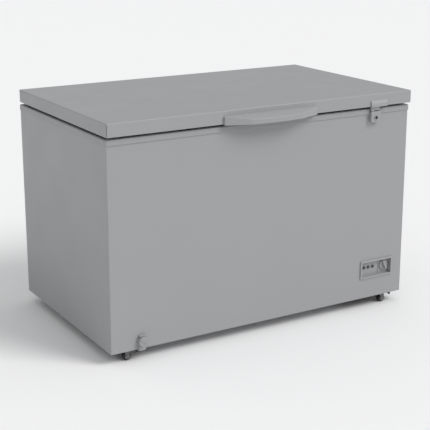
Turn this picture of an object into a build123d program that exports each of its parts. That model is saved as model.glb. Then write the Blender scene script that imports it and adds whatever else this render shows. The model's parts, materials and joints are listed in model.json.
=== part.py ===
from build123d import *
import os

os.makedirs("parts", exist_ok=True)

# Chest freezer, millimetres. +X is the right end, -Y the front, +Z up.
# The origin is on the floor, under the middle of the whole machine's bounding box.

# ---------------------------------------------------------------- driving dimensions
WIDTH = 1270.0          # cabinet, end to end
DEPTH = 755.0           # cabinet, front to back
HEIGHT = 850.0          # floor to the top of the closed lid
FLOOR_GAP = 43.0        # floor to the cabinet's lower edge
WALL = 65.0             # cabinet's outer face to the tub's inner face
SHEET = 0.8             # steel sheet of the skins
LID_HEIGHT = 47.0       # lid's skirt
SEAL_GAP = 9.5          # between the rim's top and the lid's lower edge
LID_FRONT = 13.0        # lid's overhang at the front, the ends and the back
LID_SIDE = 1.5
LID_BACK = 2.0
HANDLE_REACH = 48.0     # handle's bow, in front of the lid
HINGE_REACH = 24.0      # hinge knuckles, behind the cabinet
RIM_BULGE = 3.0         # top frame, proud of the cabinet's skin
RIM_BAND = 21.0         # visible height of the top frame
MACHINE_WIDTH = 255.0   # compressor compartment, in from the right end
MACHINE_HEIGHT = 240.0  # and up from the cabinet's lower edge
WHEEL_RADIUS = 14.5
CASTOR_INSET = 72.0     # castor's centre, in from the cabinet's end
RUN = 0.05              # radial play of a shaft in its hole
PLAY = 0.3              # gap left between parts that move past each other

# ---------------------------------------------------------------- derived planes
right = WIDTH / 2
left = -right
front = -(DEPTH + LID_FRONT + HANDLE_REACH + HINGE_REACH) / 2 + LID_FRONT + HANDLE_REACH
back = front + DEPTH
middle = (front + back) / 2
bottom = FLOOR_GAP
lid_bottom = HEIGHT - LID_HEIGHT
rim_top = lid_bottom - SEAL_GAP
rim_plate = 5.5                      # thickness of the top frame's flat top
rim_lip = 3.0                        # thickness of its two skirts
skin_top = rim_top - rim_plate       # where the skins and the foam end, under the frame
tub_right, tub_left = right - WALL, left + WALL
tub_front, tub_back = front + WALL, back - WALL
tub_floor = bottom + WALL
machine_left = right - MACHINE_WIDTH
machine_top = bottom + MACHINE_HEIGHT
step_left = machine_left - WALL      # the tub's step over the compressor
step_top = machine_top + WALL
tub_corner = 35.0                    # upright corners of the tub
floor_corner = 12.0                  # edges of the tub's floor
lid_half = right + LID_SIDE
lid_front = front - LID_FRONT
lid_back = back + LID_BACK
flange = 12.0                        # inward fold along the skins' lower edges
fold = 4.0                           # outer radius of the skin's two upright folds


def box(x, y, z, mode=Mode.ADD):
    """A box between its low and high limits on each axis."""
    with Locations(((x[0] + x[1]) / 2, (y[0] + y[1]) / 2, (z[0] + z[1]) / 2)):
        Box(x[1] - x[0], y[1] - y[0], z[1] - z[0], mode=mode)


def rod(start, end, radius, mode=Mode.ADD):
    """A round bar between two points."""
    line = Vector(*end) - Vector(*start)
    with BuildSketch(Plane(origin=start, z_dir=line)) as disc:
        Circle(radius)
    extrude(disc.sketch, amount=line.length, mode=mode)


def slab(x, y, z, corner):
    """An upright block whose four vertical edges are rounded."""
    with BuildPart() as block:
        with BuildSketch(Plane.XY.offset(z[0])):
            with Locations(((x[0] + x[1]) / 2, (y[0] + y[1]) / 2)):
                RectangleRounded(x[1] - x[0], y[1] - y[0], corner)
        extrude(amount=z[1] - z[0])
    return block.part


def soften(block, end, radius):
    """The same block with the edges of its lowest (0) or highest (-1) face rounded."""
    with BuildPart() as rounded:
        add(block)
        fillet(rounded.faces().sort_by(Axis.Z)[end].edges(), radius)
    return rounded.part


def tube_along(points, radius, bends):
    """A round tube along straight runs joined by tangent arcs."""
    with BuildPart() as tube:
        with BuildLine() as route:
            FilletPolyline(*points, radius=bends)
        with BuildSketch(Plane(origin=route.line @ 0, z_dir=route.line % 0)):
            Circle(radius)
        sweep(path=route.line)
    return tube.part


def screws_at(places, direction, head_radius=4.5, head_height=2.6, shank=10.0):
    """Cross-head screws whose heads sit on the given points and face along direction."""
    with BuildPart() as group:
        for place in places:
            seat = Plane(origin=place, z_dir=direction)
            with BuildSketch(seat) as head:
                Circle(head_radius)
            extrude(head.sketch, amount=head_height, taper=18)
            with BuildSketch(seat) as shaft:
                Circle(1.9)
            extrude(shaft.sketch, amount=-shank)
            with BuildSketch(seat.offset(head_height)) as cross:
                Rectangle(5.0, 1.1)
                Rectangle(1.1, 5.0)
            extrude(cross.sketch, amount=-1.4, mode=Mode.SUBTRACT)
    return group.part


def finish(piece, name):
    """Name a finished piece and write it."""
    piece.label = name
    export_step(piece, f"parts/{name}.step")


# ---------------------------------------------------------------- control panel layout
panel_x = (right - 203.0, right - 48.0)
panel_z = (bottom + 79.0, bottom + 152.0)
panel_proud = 5.0
panel_recess = 13.0
panel_rim = 7.0                      # width of the frame round the recess
panel_wall = 2.5
panel_lip = 4.0                      # frame that covers the edge of the skin's cut-out
lamp_z = bottom + 119.0
lamp_x = [right - 175.0, right - 154.0, right - 132.5]
lamp_radius = 6.0
knob_x = right - 80.0
knob_radius = 20.5
divider_x = right - 106.0
panel_floor = front + panel_recess   # visible floor of the recess

# ---------------------------------------------------------------- lock, drain and grille
lock_x = (right - 188.0, right - 144.0)
lock_z = (bottom + 700.0, bottom + 741.0)
lock_axis_x = (lock_x[0] + lock_x[1]) / 2
lock_axis_z = bottom + 718.0
lock_proud = 16.0
drain_x = left + 118.0
drain_z = bottom + 30.0
drain_bore = 7.0
grille_y = (middle + 62.0, middle + 262.0)
grille_z = (bottom + 32.0, bottom + 202.0)
grille_proud = 2.0

# ---------------------------------------------------------------- cabinet skins
with BuildPart() as cabinet_wrapper:
    with BuildSketch(Plane.XY.offset(bottom)) as wrap_plan:
        with Locations((0, middle)):
            Rectangle(WIDTH, DEPTH)
        fillet(wrap_plan.vertices().group_by(Axis.Y)[0], fold)
    extrude(amount=skin_top - bottom)
    with BuildSketch(Plane.XY.offset(bottom)) as wrap_inside:
        with Locations((0, middle + SHEET)):
            Rectangle(WIDTH - 2 * SHEET, DEPTH)
        fillet(wrap_inside.vertices().group_by(Axis.Y)[0], fold - SHEET)
    extrude(amount=skin_top - bottom, mode=Mode.SUBTRACT)
    box((left + SHEET / 2, left + flange), (front + fold, back - SHEET), (bottom, bottom + SHEET))
    box((right - flange, right - SHEET / 2), (front + fold, back - SHEET), (bottom, bottom + SHEET))
    box((left + fold, right - fold), (front + SHEET / 2, front + flange), (bottom, bottom + SHEET))
    box((panel_x[0] + panel_lip, panel_x[1] - panel_lip), (front - 1, front + 2),
        (panel_z[0] + panel_lip, panel_z[1] - panel_lip), mode=Mode.SUBTRACT)
    rod((drain_x, front - 1, drain_z), (drain_x, front + 2, drain_z), 12.0, mode=Mode.SUBTRACT)
    box((right - 2, right + 1), (grille_y[0] + 8, grille_y[1] - 8),
        (grille_z[0] + 8, grille_z[1] - 8), mode=Mode.SUBTRACT)
finish(cabinet_wrapper.part, "cabinet_wrapper")

gland_x, gland_z = machine_left + 42.0, bottom + 66.0
gland_hole = 8.0
with BuildPart() as back_panel:
    box((left + SHEET, right - SHEET), (back - SHEET, back), (bottom, skin_top))
    with BuildSketch(Plane(origin=(0, back - 3, 0), x_dir=(1, 0, 0), z_dir=(0, 1, 0))) as vents:
        with Locations((machine_left + 150.0, -(bottom + 125.0))):
            with GridLocations(14.0, 78.0, 10, 2):
                SlotOverall(62.0, 6.0, rotation=90)
        with Locations((gland_x, -gland_z)):
            Circle(gland_hole)
    extrude(vents.sketch, amount=6, mode=Mode.SUBTRACT)
finish(back_panel.part, "back_panel")

riser_y = (back - 74.0, back - 24.0)       # where the condenser's two ends come down
pipe_notch = 9.0                           # width of the gap beside the right-hand skin
coil_offset = SHEET + 4.6                  # evaporator tube's centre line, out from the tub
coil_x = tub_right + coil_offset
coil_start_y = tub_back - 120.0
coil_end_y = tub_back - 190.0
suction_x, suction_y = right - 45.0, tub_back - 150.0
inner_y = (front + SHEET, back - SHEET)
with BuildPart() as base_panel:
    box((left + SHEET, machine_left), inner_y, (bottom + SHEET, bottom + 2 * SHEET))
    box((machine_left - SHEET, machine_left), inner_y, (bottom + SHEET, machine_top))
    box((machine_left - SHEET, right - SHEET), inner_y, (machine_top - SHEET, machine_top))
    front_edges = base_panel.edges().filter_by(Axis.Z).group_by(Axis.Y)[0].sort_by(Axis.X)
    fillet([front_edges[0], front_edges[-1]], fold - SHEET)
    box((right - pipe_notch, right), (riser_y[0] - 8, riser_y[1] + 8),
        (machine_top - 2, machine_top + 1), mode=Mode.SUBTRACT)
    rod((coil_x, coil_start_y, machine_top - 3), (coil_x, coil_start_y, machine_top + 3), 3.0,
        mode=Mode.SUBTRACT)
    rod((suction_x, suction_y, machine_top - 3), (suction_x, suction_y, machine_top + 3), 6.0,
        mode=Mode.SUBTRACT)
finish(base_panel.part, "base_panel")


# ---------------------------------------------------------------- tub and foam
def tub_space(grow):
    """The tub's inside, each wall moved outward by grow; its right end steps up over the machine."""
    depth = (tub_front - grow, tub_back + grow)
    upper = slab((tub_left - grow, tub_right + grow), depth, (step_top - grow, HEIGHT), tub_corner + grow)
    lower = slab((tub_left - grow, step_left + grow), depth, (tub_floor - grow, step_top + 60),
                 tub_corner + grow)
    with BuildPart() as space:
        add(soften(upper, 0, floor_corner + grow))
        add(soften(lower, 0, floor_corner + grow))
    return space.part


tub_inside = tub_space(0)
tub_outside = tub_space(SHEET)
drain_hole_y = tub_front + 45.0

with BuildPart() as inner_liner:
    add(tub_outside)
    add(tub_inside, mode=Mode.SUBTRACT)
    box((left, right), (front, back), (skin_top, HEIGHT + 5), mode=Mode.SUBTRACT)
    rod((drain_x, drain_hole_y, tub_floor - 3), (drain_x, drain_hole_y, tub_floor + 3),
        drain_bore + 2, mode=Mode.SUBTRACT)
finish(inner_liner.part, "inner_liner")

coil_low, coil_pitch, coil_turns = 405.0, 52.0, 6
coil_high = coil_low + coil_pitch * coil_turns
coil_space = slab((tub_left - SHEET - 10, tub_right + SHEET + 10),
                  (tub_front - SHEET - 10, tub_back + SHEET + 10),
                  (coil_low - 12, coil_high + 14), tub_corner + SHEET + 10)
band_low, band_high = 315.0, 700.0         # the condenser's band, inside the outer skins
band_core = slab((left + SHEET + 7, right - SHEET - 7), (front + SHEET + 7, back - SHEET - 7),
                 (band_low, band_high), 26.0)
with BuildPart() as condenser_band:
    box((left, right), (front, back), (band_low, band_high))
    add(band_core, mode=Mode.SUBTRACT)

with BuildPart() as cabinet_foam:
    box((left + SHEET, right - SHEET), (front + SHEET, back - SHEET), (bottom + 2 * SHEET, skin_top))
    fillet(cabinet_foam.edges().filter_by(Axis.Z).group_by(Axis.Y)[0], fold - SHEET)
    add(condenser_band.part, mode=Mode.SUBTRACT)
    add(coil_space, mode=Mode.SUBTRACT)
    add(tub_outside, mode=Mode.SUBTRACT)
    box((machine_left - SHEET, right), (front, back), (bottom, machine_top), mode=Mode.SUBTRACT)
    box((right - pipe_notch, right), (riser_y[0] - 8, riser_y[1] + 8),
        (machine_top - 1, band_low + 1), mode=Mode.SUBTRACT)
    rod((coil_x, coil_start_y, machine_top - 1), (coil_x, coil_start_y, coil_low), 3.0, mode=Mode.SUBTRACT)
    rod((suction_x, suction_y, machine_top - 1), (suction_x, suction_y, coil_high + 10), 7.0,
        mode=Mode.SUBTRACT)
    box((tub_right, suction_x + 7), (coil_end_y - 4, suction_y + 8), (coil_high - 10, coil_high + 14),
        mode=Mode.SUBTRACT)
    rod((drain_x, drain_hole_y, drain_z), (drain_x, drain_hole_y, tub_floor), drain_bore + 3,
        mode=Mode.SUBTRACT)
    rod((drain_x, front, drain_z), (drain_x, drain_hole_y + 11, drain_z), drain_bore + 3,
        mode=Mode.SUBTRACT)
    rod((drain_x, front, drain_z), (drain_x, front + 9, drain_z), 12.4, mode=Mode.SUBTRACT)
finish(cabinet_foam.part, "cabinet_foam")

# ---------------------------------------------------------------- top frame
frame_outer = slab((left - RIM_BULGE, right + RIM_BULGE), (front - RIM_BULGE, back + RIM_BULGE),
                   (rim_top - RIM_BAND, rim_top), 7.0)
frame_mouth = slab((tub_left + rim_lip, tub_right - rim_lip), (tub_front + rim_lip, tub_back - rim_lip),
                   (rim_top - 60, rim_top + 5), tub_corner - rim_lip)
inner_skirt = slab((tub_left, tub_right), (tub_front, tub_back), (rim_top - 31, rim_top), tub_corner)
with BuildPart() as top_rim:
    add(frame_outer)
    fillet(top_rim.faces().sort_by(Axis.Z)[-1].edges(), 5.0)
    fillet(top_rim.faces().sort_by(Axis.Z)[0].edges(), 1.5)
    box((left, right), (front, back), (rim_top - 60, skin_top), mode=Mode.SUBTRACT)
    add(inner_skirt)
    add(frame_mouth, mode=Mode.SUBTRACT)
    fillet(top_rim.faces().filter_by(Axis.Z).sort_by(Axis.Z)[-1].inner_wires()[0].edges(), 2.0)
finish(top_rim.part, "top_rim")

# ---------------------------------------------------------------- compressor
comp_x, comp_y = machine_left + 118.0, middle + 130.0
tray_top = bottom + SHEET + 2.0
feet_z = tray_top + 10.0
shell_low, shell_high = feet_z + 8.0, feet_z + 172.0
foot_spacing_x, foot_spacing_y = 165.0, 100.0
with BuildPart() as compressor:
    with BuildSketch(Plane.XY.offset(shell_low)) as shell_plan:
        with Locations((comp_x, comp_y)):
            Ellipse(72, 92)
    extrude(amount=shell_high - shell_low)
    fillet(compressor.faces().sort_by(Axis.Z)[-1].edges(), 42.0)
    fillet(compressor.faces().sort_by(Axis.Z)[0].edges(), 22.0)
    with BuildSketch(Plane.XY.offset(feet_z + 96)):
        with Locations((comp_x, comp_y)):
            Ellipse(75.5, 95.5)
    extrude(amount=6)
    with BuildSketch(Plane.XY.offset(feet_z)):
        with Locations((comp_x, comp_y)):
            RectangleRounded(foot_spacing_x + 34, foot_spacing_y + 34, 14)
            with GridLocations(foot_spacing_x, foot_spacing_y, 2, 2):
                Circle(8.0, mode=Mode.SUBTRACT)
    extrude(amount=3)
    with BuildSketch(Plane.XY.offset(feet_z)):
        with Locations((comp_x, comp_y)):
            Ellipse(46, 60)
    extrude(amount=40)
finish(compressor.part, "compressor")

# ---------------------------------------------------------------- refrigerant circuit
y_low, y_high = tub_front - coil_offset, tub_back + coil_offset
corners = [(coil_x, y_high), (-coil_x, y_high), (-coil_x, y_low), (coil_x, y_low)]
coil_points = [(coil_x, coil_start_y, coil_low)]
for turn in range(coil_turns):
    for number, (x, y) in enumerate(corners):
        coil_points.append((x, y, coil_low + coil_pitch * (turn + number / 4)))
coil_points[-1] = (coil_x, y_low, coil_high)
coil_points.append((coil_x, coil_end_y, coil_high))
evaporator = tube_along(coil_points, 4.0, tub_corner + coil_offset)
finish(evaporator, "evaporator_coil")

x_out = right - SHEET - 3.5
y_low = front + SHEET + 3.5
hairpin_y = riser_y[0] - 20
rows = [345.0 + 62.0 * row for row in range(6)]
wall_points = [(x_out, riser_y[0], machine_top - 30), (x_out, riser_y[0], rows[0])]
for row, height in enumerate(rows):
    ends = [(x_out, hairpin_y), (x_out, y_low), (-x_out, y_low), (-x_out, hairpin_y)]
    if row % 2:
        ends.reverse()
    if row == 0:
        ends = ends[1:]
    if row == len(rows) - 1:
        ends[-1] = (x_out, riser_y[1])
    wall_points += [(x, y, height) for x, y in ends]
wall_points += [(x_out, riser_y[1], machine_top - 16), (x_out - 17, riser_y[1], machine_top - 44),
                (x_out - 17, riser_y[1], machine_top - 62)]
condenser = tube_along(wall_points, 2.5, 12.0)
finish(condenser, "condenser_coil")

drier_top = (x_out - 17, riser_y[1], machine_top - 62)
with BuildPart() as filter_drier:
    with BuildSketch(Plane(origin=drier_top, x_dir=(1, 0, 0), z_dir=(0, -1, 0))):
        with BuildLine():
            Polyline((0, 0), (3.2, 0), (3.2, -8), (9, -18), (9, -82), (2.2, -94), (2.2, -100), (0, -100),
                     close=True)
        make_face()
    revolve(axis=Axis(drier_top, (0, 0, 1)))
finish(filter_drier.part, "filter_drier")

drier_foot = (drier_top[0], drier_top[1], drier_top[2] - 100)
capillary_points = [drier_foot, (drier_foot[0], drier_foot[1], drier_foot[2] - 22),
                    (drier_foot[0] - 60, drier_foot[1] - 16, drier_foot[2] - 22),
                    (coil_x, coil_start_y, drier_foot[2] + 60),
                    (coil_x, coil_start_y, coil_low - 4)]
finish(tube_along(capillary_points, 1.2, 12.0), "capillary_tube")

suction_points = [(coil_x, coil_end_y, coil_high), (coil_x, coil_end_y + 20, coil_high),
                  (suction_x, suction_y, coil_high), (suction_x, suction_y, shell_high - 60),
                  (comp_x + 50, suction_y, shell_high - 60)]
with BuildPart() as suction_pipe:
    add(tube_along(suction_points, 4.0, 10.0))
    add(compressor.part, mode=Mode.SUBTRACT)
finish(suction_pipe.part, "suction_pipe")

discharge_points = [(comp_x + 50, comp_y - 30, feet_z + 60), (comp_x + 96, comp_y - 30, feet_z + 60),
                    (comp_x + 96, comp_y - 30, machine_top - 60), (x_out, riser_y[0], machine_top - 60),
                    (x_out, riser_y[0], machine_top - 30)]
with BuildPart() as discharge_pipe:
    add(tube_along(discharge_points, 2.5, 8.0))
    add(compressor.part, mode=Mode.SUBTRACT)
finish(discharge_pipe.part, "discharge_pipe")

with BuildPart() as compressor_grommets:
    with BuildSketch(Plane.XY.offset(tray_top)) as cushions:
        with Locations((comp_x, comp_y)):
            with GridLocations(foot_spacing_x, foot_spacing_y, 2, 2):
                Circle(12.5)
                Circle(4.2, mode=Mode.SUBTRACT)
    extrude(amount=feet_z - tray_top)
    with BuildSketch(Plane.XY.offset(feet_z)) as necks:
        with Locations((comp_x, comp_y)):
            with GridLocations(foot_spacing_x, foot_spacing_y, 2, 2):
                Circle(7.8)
                Circle(4.2, mode=Mode.SUBTRACT)
    extrude(amount=6)
finish(compressor_grommets.part, "compressor_grommets")

with BuildPart() as terminal_box:
    box((comp_x - 108, comp_x - 62), (comp_y - 26, comp_y + 26), (feet_z + 46, feet_z + 92))
    fillet(terminal_box.edges().filter_by(Axis.Z), 5.0)
    add(compressor.part, mode=Mode.SUBTRACT)
finish(terminal_box.part, "terminal_box")

with BuildPart() as compressor_tray:
    box((machine_left + 0.2, right - SHEET), (comp_y - 130, comp_y + 130), (bottom + SHEET, tray_top))
    box((machine_left, machine_left + 2.0), (comp_y - 130, comp_y + 130), (tray_top, tray_top + 22))
    with BuildSketch(Plane.XY.offset(bottom)) as tray_holes:
        with Locations((comp_x, comp_y)):
            with GridLocations(foot_spacing_x, foot_spacing_y, 2, 2):
                Circle(4.2)
            with GridLocations(26.0, 1.0, 5, 1):
                SlotOverall(70.0, 9.0, rotation=90)
    extrude(amount=6, mode=Mode.SUBTRACT)
finish(compressor_tray.part, "compressor_tray")

# ---------------------------------------------------------------- control panel
panel_back = panel_floor + panel_wall
with BuildPart() as control_bezel:
    box(panel_x, (front - panel_proud, front), panel_z)
    fillet(control_bezel.edges().filter_by(Axis.Y), 3.0)
    fillet(control_bezel.faces().sort_by(Axis.Y)[0].edges(), 1.5)
    box((panel_x[0] + panel_lip, panel_x[1] - panel_lip), (front, panel_back),
        (panel_z[0] + panel_lip, panel_z[1] - panel_lip))
    box((panel_x[0] + panel_rim, panel_x[1] - panel_rim), (front - 9, panel_floor),
        (panel_z[0] + panel_rim, panel_z[1] - panel_rim), mode=Mode.SUBTRACT)
    box((divider_x - 0.8, divider_x + 0.8), (panel_floor - 1.6, panel_floor),
        (panel_z[0] + panel_rim, panel_z[1] - panel_rim))
    for x in lamp_x:
        rod((x, panel_floor - 2, lamp_z), (x, panel_back + 2, lamp_z), lamp_radius - 1, mode=Mode.SUBTRACT)
    rod((knob_x, panel_floor - 2, lamp_z), (knob_x, panel_back + 2, lamp_z), 5.0, mode=Mode.SUBTRACT)
finish(control_bezel.part, "control_bezel")

for x, name in zip(lamp_x, ("power_lamp", "run_lamp", "alarm_lamp")):
    with BuildPart() as lamp:
        rod((x, panel_floor, lamp_z), (x, panel_floor - 3.4, lamp_z), lamp_radius)
        fillet(lamp.faces().sort_by(Axis.Y)[0].edges(), 1.6)
        rod((x, panel_floor, lamp_z), (x, panel_back + 18, lamp_z), lamp_radius - 1)
        for side in (-1.8, 1.8):
            box((x + side - 0.4, x + side + 0.4), (panel_back + 18, panel_back + 26),
                (lamp_z - 2.4, lamp_z + 2.4))
    finish(lamp.part, name)

shaft_radius = 3.0
with BuildPart() as thermostat:
    box((knob_x - 21, knob_x + 21), (panel_back + 1.6, panel_back + 30), (lamp_z - 26, lamp_z + 20))
    fillet(thermostat.edges().filter_by(Axis.Y), 3.0)
    rod((knob_x, panel_back + 1.6, lamp_z), (knob_x, panel_floor + 1, lamp_z), 4.8)
    rod((knob_x, panel_floor, lamp_z), (knob_x, panel_back + 14, lamp_z), shaft_radius + RUN,
        mode=Mode.SUBTRACT)
    for x in (knob_x - 12, knob_x, knob_x + 12):
        box((x - 3.1, x + 3.1), (panel_back + 30, panel_back + 38), (lamp_z - 20.4, lamp_z - 19.6))
finish(thermostat.part, "thermostat")

knob_seat = panel_floor - PLAY
knob_turn = -25.0                    # how far the grip leans from upright
with BuildPart() as thermostat_knob:
    rod((knob_x, knob_seat, lamp_z), (knob_x, knob_seat - 4.5, lamp_z), knob_radius)
    fillet(thermostat_knob.faces().sort_by(Axis.Y)[0].edges(), 1.5)
    with BuildSketch(Plane(origin=(knob_x, knob_seat - 4.5, lamp_z), x_dir=(1, 0, 0),
                           z_dir=(0, -1, 0))) as grip:
        SlotOverall(2 * knob_radius - 3, 9.0, rotation=90 - knob_turn)
    extrude(grip.sketch, amount=8.5, taper=6)
    rod((knob_x, knob_seat, lamp_z), (knob_x, panel_back + 13, lamp_z), shaft_radius)
finish(thermostat_knob.part, "thermostat_knob")

# ---------------------------------------------------------------- lock
lock_wall = 2.5
tongue_x = (lock_axis_x - 18.0, lock_axis_x - 5.5)
tongue_y = (front - 9.6, front - 7.2)
cam_radius = 10.0
barrel_radius = 6.5
cavity_floor = lock_axis_z - cam_radius - 1.0
with BuildPart() as lock_housing:
    box(lock_x, (front - lock_proud, front), lock_z)
    fillet(lock_housing.edges().filter_by(Axis.Y).group_by(Axis.Z)[0], 9.0)
    fillet(lock_housing.edges().filter_by(Axis.Y).group_by(Axis.Z)[-1], 2.5)
    fillet(lock_housing.faces().sort_by(Axis.Y)[0].edges(), 1.5)
    rod((lock_axis_x, front - lock_proud, lock_axis_z), (lock_axis_x, front - lock_proud - 2.4, lock_axis_z),
        barrel_radius + 3.4)
    fillet(lock_housing.faces().sort_by(Axis.Y)[0].edges(), 0.8)
    box((lock_x[0] + lock_wall, lock_x[1] - lock_wall), (front - lock_proud + lock_wall, front),
        (cavity_floor, lock_z[1] - lock_wall), mode=Mode.SUBTRACT)
    box((tongue_x[0] - 1.5, tongue_x[1] + 1.0), (tongue_y[0] - 2.0, tongue_y[1] + 1.0),
        (lock_z[1] - 5, lock_z[1] + 1), mode=Mode.SUBTRACT)
    box(lock_x, (front - RIM_BULGE, front), (rim_top - RIM_BAND, lock_z[1] + 1), mode=Mode.SUBTRACT)
    rod((lock_axis_x, front - lock_proud - 4, lock_axis_z), (lock_axis_x, front - 11, lock_axis_z),
        barrel_radius + RUN, mode=Mode.SUBTRACT)
finish(lock_housing.part, "lock_housing")

with BuildPart() as lock_cylinder:
    rod((lock_axis_x, front - lock_proud - 1.6, lock_axis_z), (lock_axis_x, front - 10, lock_axis_z),
        barrel_radius)
    rod((lock_axis_x, front - 10, lock_axis_z), (lock_axis_x, front - 6.4, lock_axis_z), cam_radius)
    box((lock_axis_x - 12, lock_axis_x - 5.0), (front - 10, front - 6), (lock_axis_z - 12, lock_axis_z + 12),
        mode=Mode.SUBTRACT)
    box((lock_axis_x - 0.9, lock_axis_x + 0.9), (front - lock_proud - 2, front - 11),
        (lock_axis_z - 4, lock_axis_z + 4), mode=Mode.SUBTRACT)
finish(lock_cylinder.part, "lock_cylinder")

# ---------------------------------------------------------------- drain
cap_radius = 17.5
cap_face = front - 19.0
plate_drop = 6.0                     # how far the moulding reaches below the cabinet
with BuildPart() as drain_bezel:
    with BuildSketch(Plane(origin=(drain_x, front, drain_z), x_dir=(1, 0, 0), z_dir=(0, -1, 0))) as plate:
        Circle(cap_radius + 2)
        with Locations((0, -(drain_z - bottom + plate_drop) / 2)):
            Rectangle(2 * cap_radius - 8, drain_z - bottom + plate_drop)
        fillet(plate.vertices().group_by(Axis.Y)[0], 5.0)
        Circle(drain_bore + 2, mode=Mode.SUBTRACT)
    extrude(plate.sketch, amount=4)
    box((drain_x - 12, drain_x + 12), (front - 12, front),
        (drain_z + cap_radius + 1, drain_z + cap_radius + 5))
    rod((drain_x, front, drain_z), (drain_x, front + 8, drain_z), 11.5)
    rod((drain_x, front - 5, drain_z), (drain_x, front + 9, drain_z), drain_bore, mode=Mode.SUBTRACT)
finish(drain_bezel.part, "drain_bezel")

with BuildPart() as drain_elbow:
    rod((drain_x, front + 8, drain_z), (drain_x, drain_hole_y + drain_bore + 2, drain_z), drain_bore + 2)
    rod((drain_x, drain_hole_y, drain_z), (drain_x, drain_hole_y, tub_floor), drain_bore + 2)
    rod((drain_x, front + 7, drain_z), (drain_x, drain_hole_y, drain_z), drain_bore, mode=Mode.SUBTRACT)
    rod((drain_x, drain_hole_y, drain_z), (drain_x, drain_hole_y, tub_floor + 1), drain_bore,
        mode=Mode.SUBTRACT)
finish(drain_elbow.part, "drain_elbow")

with BuildPart() as drain_spout:
    rod((drain_x, front - 16, drain_z), (drain_x, front + 50, drain_z), drain_bore - PLAY)
    rod((drain_x, front - 17, drain_z), (drain_x, front + 51, drain_z), drain_bore - 2.4, mode=Mode.SUBTRACT)
finish(drain_spout.part, "drain_spout")

with BuildPart() as drain_cap:
    rod((drain_x, front - 4 - PLAY, drain_z), (drain_x, cap_face, drain_z), cap_radius)
    fillet(drain_cap.faces().sort_by(Axis.Y)[0].edges(), 2.5)
    with BuildSketch(Plane(origin=(drain_x, cap_face, drain_z), x_dir=(1, 0, 0), z_dir=(0, -1, 0))) as rib:
        SlotOverall(2 * cap_radius - 7, 4.0, rotation=-35)
    extrude(rib.sketch, amount=2.2)
    rod((drain_x, front - 4, drain_z), (drain_x, front - 16 - PLAY, drain_z), drain_bore - PLAY + RUN,
        mode=Mode.SUBTRACT)
finish(drain_cap.part, "drain_cap")

with BuildPart() as drain_plug:
    rod((drain_x, drain_hole_y, tub_floor + 0.3), (drain_x, drain_hole_y, tub_floor + 4.3), 14.0)
    fillet(drain_plug.faces().sort_by(Axis.Z)[-1].edges(), 1.5)
    rod((drain_x, drain_hole_y, tub_floor + 0.3), (drain_x, drain_hole_y, tub_floor - 14), drain_bore - PLAY)
    with BuildSketch(Plane(origin=(drain_x, drain_hole_y, tub_floor + 4.0))) as pull:
        Rectangle(16, 3)
    extrude(pull.sketch, amount=11)
finish(drain_plug.part, "drain_plug")

# ---------------------------------------------------------------- grille, gland
grille_middle = (right - 6, (grille_y[0] + grille_y[1]) / 2, (grille_z[0] + grille_z[1]) / 2)
with BuildPart() as side_grille:
    box((right, right + grille_proud), grille_y, grille_z)
    fillet(side_grille.edges().filter_by(Axis.X), 6.0)
    fillet(side_grille.faces().sort_by(Axis.X)[-1].edges(), 1.0)
    box((right - 5, right), (grille_y[0] + 8.5, grille_y[1] - 8.5), (grille_z[0] + 8.5, grille_z[1] - 8.5))
    with BuildSketch(Plane(origin=grille_middle, x_dir=(0, 1, 0), z_dir=(1, 0, 0))) as slots:
        with GridLocations(84.0, 13.0, 2, 10):
            SlotOverall(72.0, 6.5)
    extrude(slots.sketch, amount=12, mode=Mode.SUBTRACT)
finish(side_grille.part, "side_grille")

with BuildPart() as cord_gland:
    rod((gland_x, back - SHEET - 3, gland_z), (gland_x, back - SHEET, gland_z), 11.0)
    rod((gland_x, back - SHEET, gland_z), (gland_x, back, gland_z), gland_hole)
    rod((gland_x, back, gland_z), (gland_x, back + 4, gland_z), 11.0)
    fillet(cord_gland.faces().sort_by(Axis.Y)[-1].edges(), 1.5)
    rod((gland_x, back - 6, gland_z), (gland_x, back + 6, gland_z), 4.0, mode=Mode.SUBTRACT)
finish(cord_gland.part, "cord_gland")

# ---------------------------------------------------------------- base rails and castors
rail_half, rail_sheet, rail_low = 35.0, 2.0, bottom - 16.0
castor_x = right - CASTOR_INSET
castor_y = (front + 33.0, back - 46.0)
for side, name in ((-1, "left"), (1, "right")):
    with BuildPart() as base_rail:
        centre = side * castor_x
        box((centre - rail_half, centre + rail_half), (front + 14, back - 14), (rail_low, bottom + SHEET))
        box((centre - rail_half + rail_sheet, centre + rail_half - rail_sheet), (front + 13, back - 13),
            (rail_low - 1, bottom + SHEET - rail_sheet), mode=Mode.SUBTRACT)
    finish(base_rail.part, f"base_rail_{name}")

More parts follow.
